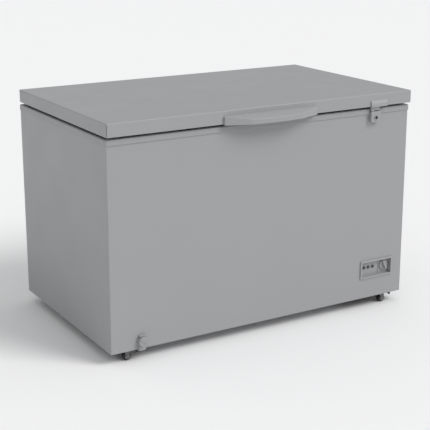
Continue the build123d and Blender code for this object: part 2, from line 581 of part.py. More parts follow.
castor_places = {"front_left": (-castor_x, castor_y[0]), "front_right": (castor_x, castor_y[0]),
                 "rear_left": (-castor_x, castor_y[1]), "rear_right": (castor_x, castor_y[1])}
web_under = bottom + SHEET - rail_sheet
wheel_half = 10.0
cheek = (wheel_half + 0.8, wheel_half + 3.2)
axle_radius = 4.0
for name, (x, y) in castor_places.items():
    with BuildPart() as fork:
        box((x - 21, x + 21), (y - 19, y + 19), (web_under - 2.4, web_under))
        for side in (-1, 1):
            with BuildSketch(Plane(origin=(x, y + side * cheek[0], WHEEL_RADIUS), x_dir=(-side, 0, 0),
                                   z_dir=(0, side, 0))) as cheek_shape:
                Circle(9.0)
                with Locations((0, (web_under - WHEEL_RADIUS) / 2)):
                    Trapezoid(30, web_under - WHEEL_RADIUS, 65, 65, rotation=180)
            extrude(cheek_shape.sketch, amount=cheek[1] - cheek[0])
        rod((x, y - 20, WHEEL_RADIUS), (x, y + 20, WHEEL_RADIUS), axle_radius, mode=Mode.SUBTRACT)
    finish(fork.part, f"castor_fork_{name}")
    with BuildPart() as wheel:
        rod((x, y - wheel_half, WHEEL_RADIUS), (x, y + wheel_half, WHEEL_RADIUS), WHEEL_RADIUS)
        fillet(wheel.edges().filter_by(GeomType.CIRCLE), 1.6)
        rod((x, y - 20, WHEEL_RADIUS), (x, y + 20, WHEEL_RADIUS), axle_radius + RUN, mode=Mode.SUBTRACT)
    finish(wheel.part, f"castor_wheel_{name}")

with BuildPart() as castor_axles:
    for x, y in castor_places.values():
        rod((x, y - cheek[1] - 1.2, WHEEL_RADIUS), (x, y + cheek[1] + 1.2, WHEEL_RADIUS), axle_radius)
        for side in (-1, 1):
            rod((x, y + side * cheek[1], WHEEL_RADIUS), (x, y + side * (cheek[1] + 2.2), WHEEL_RADIUS), 5.6)
finish(castor_axles.part, "castor_axles")

# ---------------------------------------------------------------- hinges
hinge_y, hinge_z = back + HINGE_REACH - 8.0, lid_bottom - 3.0
knuckle_radius, pin_radius = 8.0, 4.0
hinge_half = 30.0
leaf_sheet = 2.5
hinge_x = {"left": left + 205.0, "right": right - 205.0}
base_z = (hinge_z - 118.0, rim_top - RIM_BAND - 3.0)


def knuckles(spans, x):
    """Hinge knuckles around the pin, one for each (low, high) span along X."""
    for low, high in spans:
        rod((x + low, hinge_y, hinge_z), (x + high, hinge_y, hinge_z), knuckle_radius)


def web(spans, x, outline):
    """Flat webs that carry the knuckles, cut to a (y, z) outline."""
    for low, high in spans:
        with BuildSketch(Plane(origin=(x + low, 0, 0), x_dir=(0, 1, 0), z_dir=(1, 0, 0))) as profile:
            Polygon(*outline, align=None)
        extrude(profile.sketch, amount=high - low)


base_spans = [(-hinge_half, -18.0), (18.0, hinge_half)]
leaf_spans = [(-17.6, -10.4), (10.4, 17.6)]
base_outline = [(back, base_z[0]), (back + leaf_sheet, base_z[0]), (hinge_y + 7.5, hinge_z - 4),
                (hinge_y, hinge_z), (hinge_y - 7.5, hinge_z - 3), (back + 5.5, base_z[1]),
                (back, base_z[1])]
leaf_outline = [(lid_back, lid_bottom + 40), (lid_back + leaf_sheet, lid_bottom + 40),
                (lid_back + leaf_sheet, lid_bottom + 20), (hinge_y + 7.5, hinge_z + 3), (hinge_y, hinge_z),
                (hinge_y - 7.5, hinge_z + 2), (lid_back, lid_bottom + 2)]
hinge_screw_z = (hinge_z - 104.0, hinge_z - 52.0)
leaf_screw_z = lid_bottom + 32.0
for name, x in hinge_x.items():
    with BuildPart() as hinge_base:
        box((x - hinge_half, x + hinge_half), (back, back + leaf_sheet), base_z)
        web(base_spans, x, base_outline)
        knuckles(base_spans, x)
        rod((x - 40, hinge_y, hinge_z), (x + 40, hinge_y, hinge_z), pin_radius, mode=Mode.SUBTRACT)
    finish(hinge_base.part, f"hinge_base_{name}")
    with BuildPart() as hinge_leaf:
        box((x - hinge_half, x + hinge_half), (lid_back, lid_back + leaf_sheet),
            (lid_bottom + 8, lid_bottom + 40))
        web(leaf_spans, x, leaf_outline)
        knuckles(leaf_spans, x)
        rod((x - 40, hinge_y, hinge_z), (x + 40, hinge_y, hinge_z), pin_radius + RUN, mode=Mode.SUBTRACT)
    finish(hinge_leaf.part, f"hinge_leaf_{name}")
    with BuildPart() as hinge_pin:
        rod((x - hinge_half - 2, hinge_y, hinge_z), (x + hinge_half + 2, hinge_y, hinge_z), pin_radius)
        rod((x - hinge_half - 3, hinge_y, hinge_z), (x - hinge_half, hinge_y, hinge_z), 6.0)
    finish(hinge_pin.part, f"hinge_pin_{name}")
    with BuildPart() as hinge_spring:
        rod((x - 10.0, hinge_y, hinge_z), (x + 10.0, hinge_y, hinge_z), 7.4)
        rod((x - 11.0, hinge_y, hinge_z), (x + 11.0, hinge_y, hinge_z), 4.6, mode=Mode.SUBTRACT)
    finish(hinge_spring.part, f"hinge_spring_{name}")

# ---------------------------------------------------------------- lid
lid_cavity = slab((-lid_half + SHEET, lid_half - SHEET), (lid_front + SHEET, lid_back - SHEET),
                  (lid_bottom - 1, HEIGHT - SHEET), 3.2)
with BuildPart() as lid_skin:
    add(soften(slab((-lid_half, lid_half), (lid_front, lid_back), (lid_bottom, HEIGHT), 4.0), -1, 3.5))
    add(soften(lid_cavity, -1, 2.7), mode=Mode.SUBTRACT)
    with BuildSketch(Plane.XY.offset(lid_bottom)) as hem:
        with Locations((0, (lid_front + lid_back) / 2)):
            Rectangle(2 * lid_half - SHEET, lid_back - lid_front - SHEET)
            fillet(hem.vertices(), 3.6)
            Rectangle(2 * (lid_half - flange), lid_back - lid_front - 2 * flange, mode=Mode.SUBTRACT)
    extrude(hem.sketch, amount=SHEET)
finish(lid_skin.part, "lid_skin")

panel_sheet = 2.5
plug_gap = 12.0
plug_low = rim_top - 9.0
plug_x = (tub_left + rim_lip + plug_gap, tub_right - rim_lip - plug_gap)
plug_y = (tub_front + rim_lip + plug_gap, tub_back - rim_lip - plug_gap)
ledge = lid_bottom + SHEET
filling_x = (-lid_half + 1.2, lid_half - 1.2)
filling_y = (lid_front + 1.2, lid_back - 1.2)
plug_core = slab((plug_x[0] + panel_sheet, plug_x[1] - panel_sheet),
                 (plug_y[0] + panel_sheet, plug_y[1] - panel_sheet),
                 (plug_low + panel_sheet, ledge + 5), 27.5)
with BuildPart() as lid_inner_panel:
    add(slab(filling_x, filling_y, (ledge, ledge + panel_sheet), 3.0))
    add(soften(slab(plug_x, plug_y, (plug_low, ledge + 1), 30.0), 0, 6.0))
    add(plug_core, mode=Mode.SUBTRACT)
finish(lid_inner_panel.part, "lid_inner_panel")

with BuildPart() as lid_foam:
    add(soften(slab(filling_x, filling_y, (ledge + panel_sheet, HEIGHT - SHEET), 3.0), -1, 3.0))
    add(plug_core)
finish(lid_foam.part, "lid_foam")

gasket_out, gasket_width = 14.0, 18.0      # in from the cabinet's outer face
with BuildPart() as lid_gasket:
    add(slab((left + gasket_out, right - gasket_out), (front + gasket_out, back - gasket_out),
             (rim_top + PLAY, ledge), 14.0))
    add(slab((left + gasket_out + gasket_width, right - gasket_out - gasket_width),
             (front + gasket_out + gasket_width, back - gasket_out - gasket_width),
             (rim_top - 1, ledge + 1), 4.0), mode=Mode.SUBTRACT)
finish(lid_gasket.part, "lid_gasket")

# ---------------------------------------------------------------- lid handle and hasp
handle_half, shoulder = 195.0, 102.0
end_reach, shoulder_reach = 8.0, 41.0
handle_low = lid_bottom - 3.0
handle_top, handle_nose = lid_bottom + 29.0, lid_bottom + 14.0
handle_wall = 3.5


def bow(shrink):
    """The handle's crescent, solid; shrink pulls every outer face inward."""
    y = lid_front
    half, low = handle_half - shrink, handle_low - shrink
    with BuildPart() as shape:
        with BuildSketch(Plane.XY.offset(low)):
            with BuildLine():
                Polyline((-shoulder, y - shoulder_reach + shrink), (-half, y - end_reach + shrink),
                         (-half, y), (half, y), (half, y - end_reach + shrink),
                         (shoulder, y - shoulder_reach + shrink))
                ThreePointArc((-shoulder, y - shoulder_reach + shrink), (0, y - HANDLE_REACH + shrink),
                              (shoulder, y - shoulder_reach + shrink))
            make_face()
        extrude(amount=handle_top - low)
        fillet(shape.edges().filter_by(Axis.Z).filter_by_position(Axis.X, -shoulder - 1, shoulder + 1), 30.0)
        with BuildSketch(Plane(origin=(-half, 0, 0), x_dir=(0, 1, 0), z_dir=(1, 0, 0))) as side_view:
            Polygon((y, low), (y - HANDLE_REACH, low), (y - HANDLE_REACH, handle_nose - shrink),
                    (y, handle_top - shrink), align=None)
        extrude(side_view.sketch, amount=2 * half, mode=Mode.INTERSECT)
    return shape.part


with BuildPart() as grip_space:
    add(bow(handle_wall))
    box((-shoulder - 60, shoulder + 60), (lid_front - HANDLE_REACH, lid_front - 3.0),
        (handle_low - 5, handle_top), mode=Mode.INTERSECT)

with BuildPart() as lid_handle:
    add(bow(0))
    outer_edges = lid_handle.edges().filter_by_position(Axis.Y, lid_front - 60, lid_front - 1)
    fillet(outer_edges.filter_by_position(Axis.Z, handle_low + 1, handle_top), 3.0)
    add(grip_space.part, mode=Mode.SUBTRACT)
finish(lid_handle.part, "lid_handle")

hasp_x = (lock_axis_x - 25.0, lock_axis_x + 51.0)
hasp_face = lid_front - 6.5
hasp_low, hasp_shoulder, hasp_top = lid_bottom - 2.0, lid_bottom + 11.0, lid_bottom + 24.0
nose_y = (lid_front + 2.5, front - RIM_BULGE - 1.5)
with BuildPart() as lid_hasp:
    with BuildSketch(Plane(origin=(hasp_x[0], 0, 0), x_dir=(0, 1, 0), z_dir=(1, 0, 0))) as hasp_side:
        Polygon((lid_front, hasp_low), (hasp_face, hasp_low), (hasp_face, hasp_shoulder),
                (lid_front - 1.0, hasp_top), (lid_front, hasp_top), align=None)
    extrude(hasp_side.sketch, amount=hasp_x[1] - hasp_x[0])
    fillet(lid_hasp.edges().filter_by_position(Axis.Y, hasp_face - 0.1, hasp_face + 0.1), 1.8)
    box(lock_x, (hasp_face + 1, nose_y[1]), (hasp_low, lid_bottom - 0.3))
    box((lock_x[0] + 2, lock_x[1] - 2), nose_y, (lock_z[1] + 3.5, lid_bottom - 0.3))
    box(tongue_x, tongue_y, (cavity_floor + 1, lock_z[1] + 8))
    rod((lock_axis_x, front - 11, lock_axis_z), (lock_axis_x, front - 5, lock_axis_z), cam_radius + 0.6,
        mode=Mode.SUBTRACT)
finish(lid_hasp.part, "lid_hasp")

# ---------------------------------------------------------------- screws
hinge_screws = [(x + dx, back + leaf_sheet, z) for x in hinge_x.values() for dx in (-14, 14)
                for z in hinge_screw_z]
edge_screws = [(x, back, z) for x in (-600, -300, 0, 300, 600) for z in (bottom + 14, skin_top - 40)]
grille_screws = [(right + grille_proud, y, z) for y in (grille_y[0] + 5.5, grille_y[1] - 5.5)
                 for z in (grille_z[0] + 5.5, grille_z[1] - 5.5)]
with BuildPart() as cabinet_screws:
    add(screws_at(hinge_screws + edge_screws, (0, 1, 0)))
    add(screws_at(grille_screws, (1, 0, 0), head_radius=3.0, head_height=0.6, shank=6.0))
finish(cabinet_screws.part, "cabinet_screws")

leaf_screws = [(x + dx, lid_back + leaf_sheet, leaf_screw_z) for x in hinge_x.values()
               for dx in (-20, 0, 20)]
handle_screws = [(x, lid_front - 3.0, lid_bottom + 8) for x in (-70, 70)]
with BuildPart() as lid_screws:
    add(screws_at(leaf_screws, (0, 1, 0)))
    add(screws_at(handle_screws, (0, -1, 0)))
finish(lid_screws.part, "lid_screws")

# ---------------------------------------------------------------- wire basket
basket_x = (tub_right - 275.0, tub_right - 25.0)
basket_y = (tub_front + rim_lip + 6.0, tub_back - rim_lip - 6.0)
basket_top, basket_low = plug_low - 10.0, plug_low - 220.0
frame_wire, mesh_wire = 3.0, 1.75
hook_z = rim_top + PLAY + frame_wire - 0.5
hook_x = (basket_x[0] + 45.0, basket_x[1] - 45.0)


def ring(x, y, z, radius, bend):
    """A closed wire loop, flat at height z."""
    with BuildPart() as loop:
        with BuildLine() as path:
            FilletPolyline((x[0], y[0], z), (x[1], y[0], z), (x[1], y[1], z), (x[0], y[1], z),
                           radius=bend, close=True)
        with BuildSketch(Plane(origin=path.line @ 0, z_dir=path.line % 0)):
            Circle(radius)
        sweep(path=path.line)
    return loop.part


with BuildPart() as basket_frame:
    add(ring(basket_x, basket_y, basket_top, frame_wire, 14.0))
    for x in hook_x:
        for y, outward in ((basket_y[0], -1), (basket_y[1], 1)):
            add(tube_along([(x, y, basket_top), (x, y, hook_z), (x, y + outward * 24, hook_z)],
                           frame_wire - 0.5, 5.5))
finish(basket_frame.part, "basket_frame")



def kinked(corner, before, after, cut):
    """The two points that take a corner of a wire in two short bends."""
    corner, before, after = Vector(*corner), Vector(*before), Vector(*after)
    return [corner + (before - corner).normalized() * cut, corner + (after - corner).normalized() * cut]


def bent_wire(points, radius, cut):
    """A wire along straight runs whose corners are taken in two bends."""
    route = [Vector(*points[0])]
    for before, corner, after in zip(points, points[1:], points[2:]):
        route += kinked(corner, before, after, cut)
    route.append(Vector(*points[-1]))
    with BuildPart() as wire:
        with BuildLine() as path:
            Polyline(*route)
        with BuildSketch(Plane(origin=path.line @ 0, z_dir=path.line % 0)):
            Circle(radius)
        sweep(path=path.line, transition=Transition.RIGHT)
    return wire.part


def hoop(x, y, z, radius, cut):
    """A closed wire loop at height z, joined in the middle of its front side."""
    centre = (x[0] + x[1]) / 2
    corners = [(x[1], y[0], z), (x[1], y[1], z), (x[0], y[1], z), (x[0], y[0], z)]
    return bent_wire([(centre, y[0], z), *corners, (centre, y[0], z)], radius, cut)


grid_top = basket_top - frame_wire
weld = mesh_wire * 1.7               # centre distance of two wires welded across each other
mesh_bend = 10.0
x_wires, y_wires = 8, 17
with BuildPart() as basket_mesh:
    for number in range(x_wires):
        x = basket_x[0] + 22 + number * (basket_x[1] - basket_x[0] - 44) / (x_wires - 1)
        add(bent_wire([(x, basket_y[0], grid_top), (x, basket_y[0], basket_low),
                       (x, basket_y[1], basket_low), (x, basket_y[1], grid_top)], mesh_wire, mesh_bend))
    for number in range(y_wires):
        y = basket_y[0] + 24 + number * (basket_y[1] - basket_y[0] - 48) / (y_wires - 1)
        add(bent_wire([(basket_x[0], y, grid_top), (basket_x[0], y, basket_low + weld),
                       (basket_x[1], y, basket_low + weld), (basket_x[1], y, grid_top)],
                      mesh_wire, mesh_bend))
    for level in (1, 2):
        z = basket_low + level * (basket_top - basket_low) / 3
        add(hoop((basket_x[0] + weld, basket_x[1] - weld), (basket_y[0] + weld, basket_y[1] - weld), z,
                 mesh_wire, mesh_bend))
finish(basket_mesh.part, "basket_mesh")
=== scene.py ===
import json
import math

import bmesh
import bpy
from mathutils import Matrix, Vector

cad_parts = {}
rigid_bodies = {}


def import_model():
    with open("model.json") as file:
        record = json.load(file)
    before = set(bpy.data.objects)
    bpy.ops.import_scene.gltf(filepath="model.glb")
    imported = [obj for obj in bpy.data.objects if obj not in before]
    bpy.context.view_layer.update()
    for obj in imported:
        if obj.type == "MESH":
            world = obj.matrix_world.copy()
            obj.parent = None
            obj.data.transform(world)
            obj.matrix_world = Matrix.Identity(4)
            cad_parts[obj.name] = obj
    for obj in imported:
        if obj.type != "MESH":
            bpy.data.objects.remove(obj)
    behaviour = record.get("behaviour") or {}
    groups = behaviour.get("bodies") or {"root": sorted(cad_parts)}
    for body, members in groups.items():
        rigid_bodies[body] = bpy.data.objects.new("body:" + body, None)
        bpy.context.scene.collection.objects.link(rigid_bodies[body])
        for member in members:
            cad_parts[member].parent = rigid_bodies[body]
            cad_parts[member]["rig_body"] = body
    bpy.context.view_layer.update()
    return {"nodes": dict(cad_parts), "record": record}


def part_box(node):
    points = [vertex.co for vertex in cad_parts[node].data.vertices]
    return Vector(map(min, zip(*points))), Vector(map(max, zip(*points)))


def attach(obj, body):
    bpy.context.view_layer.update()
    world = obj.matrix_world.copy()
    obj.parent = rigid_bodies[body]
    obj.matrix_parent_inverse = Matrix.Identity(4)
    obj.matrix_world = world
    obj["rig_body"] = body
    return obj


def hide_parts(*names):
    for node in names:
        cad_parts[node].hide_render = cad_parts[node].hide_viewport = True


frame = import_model()
nodes = frame["nodes"]
finishes = {m["slot"]: m for m in frame["record"]["materials"]}

MM = 0.001


# ---------------------------------------------------------------- materials

class Surface:
    """One procedural material: a Principled shader and the nodes that feed it.

    The coordinates are the object's own, in metres, so a scale of 500 gives grains of about 2 mm.
    """

    def __init__(self, slot, roughness, metallic=0.0):
        self.material = bpy.data.materials.new("finish_" + slot)
        self.material.use_nodes = True
        self.tree = self.material.node_tree
        self.shader = self.tree.nodes["Principled BSDF"]
        self.color = tuple(finishes[slot]["base_color"])
        self.roughness = roughness
        self.shader.inputs["Metallic"].default_value = metallic
        self.shader.inputs["Base Color"].default_value = (*self.color, 1)
        self.shader.inputs["Roughness"].default_value = roughness
        self.place = self.add("ShaderNodeTexCoord").outputs["Object"]
        self.tint = None
        self.relief = None

    def add(self, kind, **settings):
        node = self.tree.nodes.new(kind)
        for setting, value in settings.items():
            setattr(node, setting, value)
        return node

    def link(self, source, target):
        self.tree.links.new(source, target)

    def set(self, **values):
        """Sets sockets of the shader that are the same all over the surface."""
        for socket, value in values.items():
            self.shader.inputs[socket.replace("_", " ")].default_value = value

    def stretched(self, scale):
        """The coordinates scaled by a different amount along each axis."""
        mapping = self.add("ShaderNodeMapping")
        mapping.inputs["Scale"].default_value = scale
        self.link(self.place, mapping.inputs["Vector"])
        return mapping.outputs["Vector"]

    def noise(self, scale, detail=3.0, along=None):
        node = self.add("ShaderNodeTexNoise")
        node.inputs["Scale"].default_value = scale
        node.inputs["Detail"].default_value = detail
        self.link(along or self.place, node.inputs["Vector"])
        return node.outputs["Fac"]

    def cells(self, scale, feature="F1", output="Distance"):
        node = self.add("ShaderNodeTexVoronoi", feature=feature)
        node.inputs["Scale"].default_value = scale
        self.link(self.place, node.inputs["Vector"])
        return node.outputs[output]

    def spread(self, value, low, high, start=0.3, stop=0.7):
        """Maps a texture's value from start..stop to low..high."""
        node = self.add("ShaderNodeMapRange")
        node.inputs["From Min"].default_value = start
        node.inputs["From Max"].default_value = stop
        node.inputs["To Min"].default_value = low
        node.inputs["To Max"].default_value = high
        self.link(value, node.inputs["Value"])
        return node.outputs["Result"]

    def vary_roughness(self, value, amount):
        low, high = self.roughness - amount, self.roughness + amount
        self.link(self.spread(value, low, high), self.shader.inputs["Roughness"])

    def bump(self, height, depth, strength=1.0):
        """Adds relief of that depth, in metres, on top of any relief before it."""
        node = self.add("ShaderNodeBump")
        node.inputs["Distance"].default_value = depth
        node.inputs["Strength"].default_value = strength
        self.link(height, node.inputs["Height"])
        if self.relief:
            self.link(self.relief, node.inputs["Normal"])
        self.relief = node.outputs["Normal"]
        self.link(self.relief, self.shader.inputs["Normal"])

    def colour_towards(self, factor, color):
        """Moves the base colour towards another one by a factor that varies over the surface."""
        mix = self.add("ShaderNodeMix", data_type="RGBA")
        self.link(factor, mix.inputs["Factor"])
        if self.tint:
            self.link(self.tint, mix.inputs["A"])
        else:
            mix.inputs["A"].default_value = (*self.color, 1)
        mix.inputs["B"].default_value = (*color, 1)
        self.tint = mix.outputs["Result"]
        self.link(self.tint, self.shader.inputs["Base Color"])

    def scaled_color(self, factor):
        return tuple(min(1.0, c * factor) for c in self.color)

    def worn_and_highlit_edges(self, radius, factor, amount):
        """Edges within that radius take a lighter or darker tone, broken up by noise: partly wear,
        partly a painted highlight along the edges.
        """
        bevel = self.add("ShaderNodeBevel", samples=4)
        bevel.inputs["Radius"].default_value = radius
        normal = self.add("ShaderNodeNewGeometry").outputs["Normal"]
        dot = self.add("ShaderNodeVectorMath", operation="DOT_PRODUCT")
        self.link(bevel.outputs["Normal"], dot.inputs[0])
        self.link(normal, dot.inputs[1])
        edge = self.spread(dot.outputs["Value"], amount, 0.0, 0.80, 0.995)
        edge_wear_and_highlight_mask = self.add("ShaderNodeMath", operation="MULTIPLY")
        self.link(edge, edge_wear_and_highlight_mask.inputs[0])
        self.link(self.spread(self.noise(160, 2), 0.35, 1.0), edge_wear_and_highlight_mask.inputs[1])
        # The lighter edges are partly rubbed finish and partly a painted highlight, standing in for
        # light catching the edges.
        self.colour_towards(edge_wear_and_highlight_mask.outputs["Value"], self.scaled_color(factor))


def painted(slot, roughness, edge=1.18, peel=60e-6):
    """Stove-enamelled sheet: an orange-peel skin, faint clouding, paint thinned at the folds, and a
    painted highlight along the folds.
    """
    s = Surface(slot, roughness)
    s.set(Specular_IOR_Level=0.42, Coat_Weight=0.08, Coat_Roughness=0.35)
    s.colour_towards(s.spread(s.noise(2.2, 2), 0.0, 0.5), s.scaled_color(0.965))
    s.colour_towards(s.spread(s.noise(900, 2), 0.0, 0.35), s.scaled_color(1.03))
    s.vary_roughness(s.noise(6, 4), 0.06)
    s.bump(s.noise(420, 2), peel, 0.35)
    s.worn_and_highlit_edges(2.5 * MM, edge, 0.5)
    return s


def moulded(slot, roughness, edge=1.12, grain=1400, depth=35e-6):
    """Injection-moulded plastic: a fine spark-eroded grain and slightly polished edges with a
    painted highlight along them.
    """
    s = Surface(slot, roughness)
    s.set(Specular_IOR_Level=0.45)
    s.colour_towards(s.spread(s.noise(5, 3), 0.0, 0.5), s.scaled_color(0.96))
    s.vary_roughness(s.noise(35, 4), 0.07)
    s.bump(s.noise(grain, 2), depth, 0.4)
    s.worn_and_highlit_edges(1.2 * MM, edge, 0.5)
    return s


def spangled(slot):
    """Hot-dip galvanised sheet: crystals of zinc that each reflect a little differently."""
    s = Surface(slot, 0.42, metallic=0.85)
    flakes = s.cells(110, output="Color")
    grey = s.add("ShaderNodeRGBToBW")
    s.link(flakes, grey.inputs["Color"])
    s.colour_towards(s.spread(grey.outputs["Val"], 0.0, 0.8, 0.0, 1.0), s.scaled_color(0.85))
    s.vary_roughness(grey.outputs["Val"], 0.12)
    s.bump(s.noise(260, 3), 40e-6, 0.25)
    s.worn_and_highlit_edges(1.0 * MM, 1.25, 0.5)
    return s


def plated(slot, roughness=0.32, tarnish=0.7):
    """Zinc-plated or drawn steel: fine drawing lines, dull patches and bright edges, partly wear
    and partly a painted highlight.
    """
    s = Surface(slot, roughness, metallic=0.95)
    s.colour_towards(s.spread(s.noise(90, 4), 0.0, 0.7), s.scaled_color(tarnish))
    s.vary_roughness(s.noise(240, 3), 0.12)
    s.bump(s.noise(500, 3, s.stretched((1, 1, 0.08))), 20e-6, 0.35)
    s.worn_and_highlit_edges(0.8 * MM, 1.35, 0.6)
    return s


def drawn_tube(slot, roughness, metallic, stain):
    """Drawn refrigeration tube: clean metal with darker heat stains along it."""
    s = Surface(slot, roughness, metallic=metallic)
    s.colour_towards(s.spread(s.noise(18, 4), 0.0, 0.75, 0.45, 0.75), stain)
    s.vary_roughness(s.noise(120, 3), 0.10)
    s.bump(s.noise(800, 2), 25e-6, 0.3)
    return s


def stucco_liner(slot):
    """Stucco-embossed aluminium: shallow pebbles pressed into a clear-lacquered sheet."""
    s = Surface(slot, 0.38, metallic=0.75)
    s.set(Coat_Weight=0.15, Coat_Roughness=0.3)
    s.colour_towards(s.spread(s.noise(4, 3), 0.0, 0.4), s.scaled_color(0.88))
    s.vary_roughness(s.noise(60, 3), 0.08)
    s.bump(s.cells(190, "SMOOTH_F1"), 350e-6, 0.55)
    s.bump(s.noise(900, 2), 30e-6, 0.3)
    s.worn_and_highlit_edges(2 * MM, 1.15, 0.5)
    return s


def blown_foam(slot):
    """Cut polyurethane foam: cells of about a millimetre, yellowing in patches."""
    s = Surface(slot, 0.95)
    s.set(Specular_IOR_Level=0.15)
    s.colour_towards(s.spread(s.noise(9, 5), 0.0, 0.7), (0.72, 0.58, 0.30))
    s.vary_roughness(s.noise(300, 2), 0.04)
    s.bump(s.cells(900), 500e-6, 0.8)
    return s


def moulded_rubber(slot, roughness=0.7):
    """Black or grey rubber: a matt skin with a little bloom."""
    s = Surface(slot, roughness)
    s.set(Specular_IOR_Level=0.35)
    s.colour_towards(s.spread(s.noise(45, 5), 0.0, 0.6, 0.4, 0.8), s.scaled_color(1.9))
    s.vary_roughness(s.noise(130, 3), 0.08)
    s.bump(s.noise(1100, 3), 50e-6, 0.5)
    return s


def lamp_lens(slot):
    """Dark tinted lens: glossy, with a faint moulded prism pattern."""
    s = Surface(slot, 0.14)
    s.set(Coat_Weight=0.6, Coat_Roughness=0.05)
    s.colour_towards(s.spread(s.noise(300, 2), 0.0, 0.5), s.scaled_color(2.2))
    s.vary_roughness(s.noise(500, 2), 0.05)
    s.bump(s.cells(1500), 60e-6, 0.25)
    return s


def make_surfaces():
    """The record's material slots, each with its own finish."""
    # edge sets how much lighter the edges are drawn: partly wear, partly a painted highlight along
    # them.
    return {
        "body_paint": painted("body_paint", 0.46, edge=1.05),
        "galvanised": spangled("galvanised"),
        "foam": blown_foam("foam"),
        "liner": stucco_liner("liner"),
        "rim_plastic": moulded("rim_plastic", 0.48),
        "compressor_paint": painted("compressor_paint", 0.36, edge=2.2, peel=90e-6),
        "black_rubber": moulded_rubber("black_rubber"),
        "black_plastic": moulded("black_plastic", 0.5, edge=1.8),
        "tube_aluminium": drawn_tube("tube_aluminium", 0.34, 0.95, (0.42, 0.42, 0.43)),
        "tube_steel": drawn_tube("tube_steel", 0.42, 0.7, (0.16, 0.11, 0.08)),
        "copper": drawn_tube("copper", 0.30, 0.98, (0.26, 0.12, 0.07)),
        "panel_plastic": moulded("panel_plastic", 0.46),
        "lamp_lens": lamp_lens("lamp_lens"),
        "switch_body": moulded("switch_body", 0.55),
        "grille_plastic": moulded("grille_plastic", 0.52),
        "rail_paint": painted("rail_paint", 0.58, edge=1.7, peel=90e-6),
        "zinc": plated("zinc"),
        "castor_steel": painted("castor_steel", 0.5, edge=1.8, peel=90e-6),
        "hinge_paint": painted("hinge_paint", 0.42, edge=1.3),
        "spring_steel": plated("spring_steel", 0.28, 0.55),
        "lid_plastic": moulded("lid_plastic", 0.36, edge=1.06),
        "gasket_rubber": moulded_rubber("gasket_rubber", 0.6),
        "handle_plastic": moulded("handle_plastic", 0.46),
        "knob_plastic": moulded("knob_plastic", 0.42),
        "lock_metal": plated_lock("lock_metal"),
        "basket_wire": moulded("basket_wire", 0.34, grain=600, depth=60e-6),
        "wheel_plastic": moulded("wheel_plastic", 0.5, edge=2.0, depth=60e-6),
    }


def plated_lock(slot):
    """The lock's black barrel: satin, with turning marks round it."""
    s = Surface(slot, 0.38)
    s.set(Specular_IOR_Level=0.5)
    s.colour_towards(s.spread(s.noise(220, 3), 0.0, 0.5), s.scaled_color(1.8))
    s.vary_roughness(s.noise(400, 3), 0.08)
    s.bump(s.noise(1500, 2), 30e-6, 0.4)
    s.worn_and_highlit_edges(0.5 * MM, 2.4, 0.6)
    return s


def finish_cad_nodes(surfaces):
    """Each CAD node keeps its slot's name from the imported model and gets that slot's finish."""
    for node in nodes.values():
        for place in node.material_slots:
            place.material = surfaces[place.material.name.split(".")[0]].material


# ---------------------------------------------------------------- mesh tools

def new_piece(name, mesh, body, surface, replaced=()):
    """Links a mesh as a piece of the object that rides on a CAD body."""
    piece = bpy.data.objects.new(name, mesh)
    bpy.context.scene.collection.objects.link(piece)
    mesh.materials.append(surface.material)
    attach(piece, body)
    if replaced:
        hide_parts(*replaced)
    return piece


def mesh_from(bm, name, smooth=True):
    """Turns a bmesh into a mesh with outward normals, and frees the bmesh."""
    bmesh.ops.recalc_face_normals(bm, faces=bm.faces)
    for face in bm.faces:
        face.smooth = smooth
    mesh = bpy.data.meshes.new(name)
    bm.to_mesh(mesh)
    bm.free()
    return mesh


def body_of_node(node):
    return nodes[node]["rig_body"]


def swept(bm, path, profile, frames, closed):
    """Skins a closed profile along a path: frames gives the two unit axes at each point."""
    rings = []
    for point, (across, up) in zip(path, frames):
        rings.append([bm.verts.new(point + across * u + up * v) for u, v in profile])
    last = len(rings) if closed else len(rings) - 1
    for i in range(last):
        ring, following = rings[i], rings[(i + 1) % len(rings)]
        for j in range(len(profile)):
            k = (j + 1) % len(profile)
            bm.faces.new((ring[j], ring[k], following[k], following[j]))
    if not closed:
        bm.faces.new(rings[0][::-1])
        bm.faces.new(rings[-1])


def circle_profile(radius, count):
    """The corners of a round section, as offsets on its two axes."""
    step = 2 * math.pi / count
    return [(radius * math.cos(i * step), radius * math.sin(i * step)) for i in range(count)]


# ---------------------------------------------------------------- hinge springs

SPRING_WIRE = 1.25 * MM      # radius of the wire
SPRING_TURNS = 7
SPRING_STEPS = 24            # points in one turn


def hinge_spring(side, surface):
    """A close-wound torsion spring in the place of its plain CAD sleeve."""
    node = "hinge_spring_" + side
    low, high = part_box(node)
    centre = (low + high) / 2
    coil_radius = (high.z - low.z) / 2 - SPRING_WIRE
    length = high.x - low.x - 2 * SPRING_WIRE
    count = SPRING_TURNS * SPRING_STEPS
    path, frames = [], []
    for i in range(count + 1):
        angle = 2 * math.pi * i / SPRING_STEPS
        outward = Vector((0, math.cos(angle), math.sin(angle)))
        along = Vector((1, 0, 0)) * (length * (i / count - 0.5))
        path.append(centre + along + outward * coil_radius)
        frames.append((outward, Vector((1, 0, 0))))
    bm = bmesh.new()
    swept(bm, path, circle_profile(SPRING_WIRE, 10), frames, closed=False)
    mesh = mesh_from(bm, node + "_coil")
    new_piece(node + "_coil", mesh, body_of_node(node), surface, [node])


# ---------------------------------------------------------------- lid gasket

GASKET_WIDTH = 18 * MM
GASKET_CORNER = 16 * MM      # radius of its middle line at the corners
GASKET_CORNER_STEPS = 6


